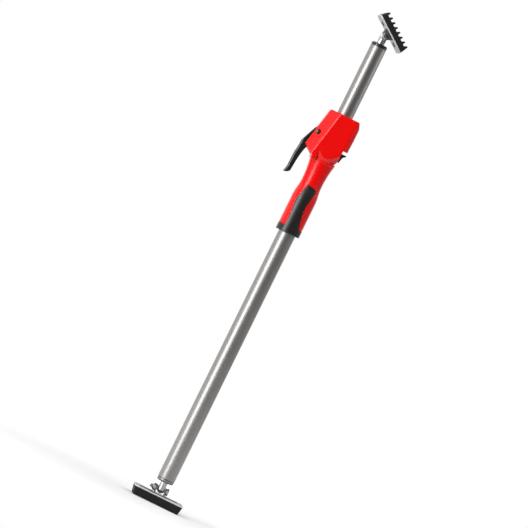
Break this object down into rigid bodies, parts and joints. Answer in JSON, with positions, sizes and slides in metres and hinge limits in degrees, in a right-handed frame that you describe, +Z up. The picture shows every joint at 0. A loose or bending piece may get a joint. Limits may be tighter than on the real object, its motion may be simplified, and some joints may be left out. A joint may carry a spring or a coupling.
{
  "type": "telescopic drywall support",
  "caption": "Telescopic prop for drywall boards: sliding steel tubes, pump handle with release tab, and a tilting ribbed rubber pad at each end.",
  "frame": {"origin": "on the tube axis, in the plane of the foot pad's rib tips", "axes": "+Z up the tube to the head, +X towards the release tab, -X towards the pump lever"},
  "size_m": [0.0899, 0.082, 0.845],
  "materials": {
    "zinc_tube": "satin",
    "zinc_plate": "satin",
    "bolt_steel": "satin",
    "plate_steel": "satin",
    "spring_steel": "satin",
    "red_plastic": "gloss",
    "black_plastic": "satin",
    "grip_rubber": "matte",
    "pad_rubber": "matte",
    "cap_metal": "satin"
  },
  "bodies": {
    "pole": {"outer_tube": "zinc_tube", "foot_end_cap": "cap_metal", "foot_post": "bolt_steel", "handle_front_shell": "red_plastic", "handle_rear_shell": "red_plastic", "grip_sleeve": "grip_rubber", "lever_pin": "bolt_steel", "shell_screws": "bolt_steel", "guide_bush": "black_plastic", "drive_spring": "spring_steel", "brake_spring": "spring_steel"},
    "inner_pole": {"inner_tube": "zinc_tube", "inner_tube_slider": "black_plastic", "head_end_cap": "black_plastic", "head_post": "bolt_steel"},
    "head": {"head_plate": "zinc_plate", "head_pad": "pad_rubber", "head_pivot_bolt": "bolt_steel", "head_pivot_nut": "bolt_steel"},
    "foot": {"foot_plate": "zinc_plate", "foot_pad": "pad_rubber", "foot_pivot_bolt": "bolt_steel", "foot_pivot_nut": "bolt_steel"},
    "lever": {"pump_lever": "black_plastic"},
    "drive": {"drive_plate": "plate_steel"},
    "brake": {"brake_plate": "plate_steel", "release_tab": "black_plastic"}
  },
  "joints": [
    {"name": "inner_slide", "type": "slide", "parent": "pole", "child": "inner_pole", "axis": [0, 0, 1], "range_m": [-0.1, 0.36]},
    {"name": "head_tilt", "type": "hinge", "parent": "inner_pole", "child": "head", "pos_m": [0, 0, 0.808], "axis": [0, 1, 0], "range_deg": [-82, 8]},
    {"name": "foot_tilt", "type": "hinge", "parent": "pole", "child": "foot", "pos_m": [0, 0, 0.0235], "axis": [1, 0, 0], "range_deg": [-45, 45]},
    {"name": "lever_squeeze", "type": "hinge", "parent": "pole", "child": "lever", "pos_m": [-0.0273, 0, 0.631], "axis": [0, -1, 0], "range_deg": [0, 13], "stiffness_Nm_per_rad": 0.6, "springref_deg": -11.46},
    {"name": "drive_tilt", "type": "hinge", "parent": "pole", "child": "drive", "pos_m": [0.017, 0, 0.636], "axis": [0, 1, 0], "range_deg": [0, 3.8], "deforming": ["drive_spring"]},
    {"name": "brake_release", "type": "hinge", "parent": "pole", "child": "brake", "pos_m": [-0.0166, 0, 0.612], "axis": [0, -1, 0], "range_deg": [0, 5], "stiffness_Nm_per_rad": 1, "springref_deg": -5.73, "deforming": ["brake_spring"]}
  ],
  "couplings": [
    {"joint": "drive_tilt", "follows": "lever_squeeze", "ratio": 0.284}
  ]
}
